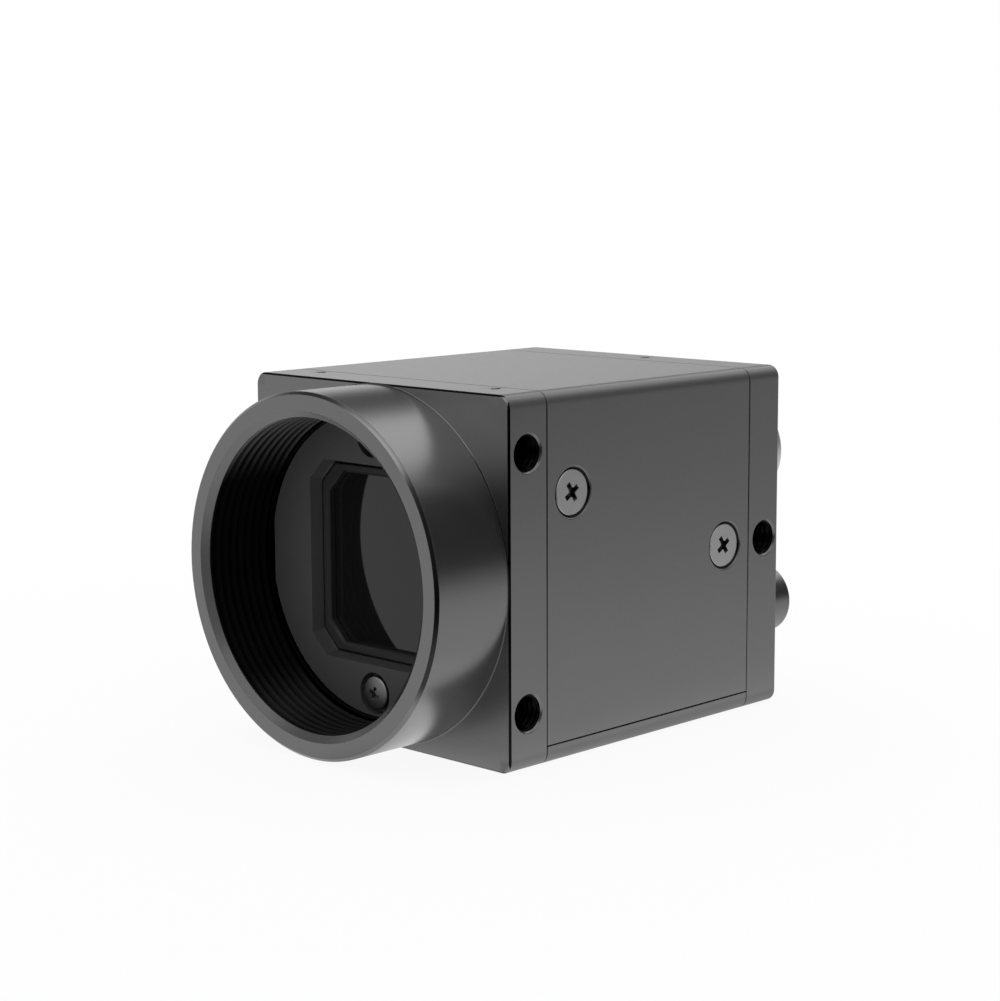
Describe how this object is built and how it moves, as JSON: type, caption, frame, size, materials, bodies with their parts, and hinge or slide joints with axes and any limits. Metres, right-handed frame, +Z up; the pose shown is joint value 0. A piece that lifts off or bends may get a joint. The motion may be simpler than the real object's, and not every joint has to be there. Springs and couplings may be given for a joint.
{
  "type": "machine vision camera",
  "caption": "Compact cube-shaped industrial camera with a threaded round lens mount in front and network and round connectors at the back.",
  "frame": {"origin": "centre of the lens mount's flange, on the lens axis", "axes": "+Y along the lens axis from the flange towards the connectors, +Z up, +X to the side with the boss and round connector in view"},
  "size_m": [0.029, 0.044, 0.029],
  "materials": {
    "anodised_aluminium": "fine bead-blasted dark grey anodising",
    "black_anodised": "matt black anodising",
    "nickel_steel": "plated steel, satin",
    "plated_shell": "nickel-plated",
    "plated_brass": "plated, satin",
    "gold_contacts": "gold-plated",
    "black_rubber": "matt",
    "black_plastic": "moulded, matt",
    "lamp_plastic": "clear, glossy",
    "circuit_board": "green solder mask, semi-matt",
    "package_ceramic": "matt",
    "silicon": "polished, dark",
    "ferrite": "matt",
    "filter_glass": "polished and coated",
    "cover_glass": "polished"
  },
  "bodies": {
    "root": {"front_block": "anodised_aluminium", "rear_block": "anodised_aluminium", "top_cover": "anodised_aluminium", "base_plate": "anodised_aluminium", "cover_screws": "nickel_steel", "base_screws": "nickel_steel", "filter_frame": "black_anodised", "filter_gasket": "black_rubber", "filter_glass": "filter_glass", "frame_screws": "nickel_steel", "sensor_package": "package_ceramic", "sensor_die": "silicon", "sensor_glass": "cover_glass", "sensor_board": "circuit_board", "processor_board": "circuit_board", "interface_board": "circuit_board", "front_spacers": "plated_brass", "rear_spacers": "plated_brass", "stack_screws": "nickel_steel", "sensor_link_plug": "black_plastic", "sensor_link_socket": "black_plastic", "interface_link_plug": "black_plastic", "interface_link_socket": "black_plastic", "processor_chip": "black_plastic", "memory_chip": "black_plastic", "network_transformer": "black_plastic", "network_chip": "black_plastic", "power_inductor": "ferrite", "status_lamp": "lamp_plastic", "jack_shell": "plated_shell", "jack_body": "black_plastic", "jack_lamps": "lamp_plastic", "jack_contacts": "gold_contacts", "io_shell": "plated_shell", "io_insert": "black_plastic", "io_pins": "gold_contacts", "io_nut": "plated_shell", "light_pipe": "lamp_plastic"}
  },
  "joints": []
}
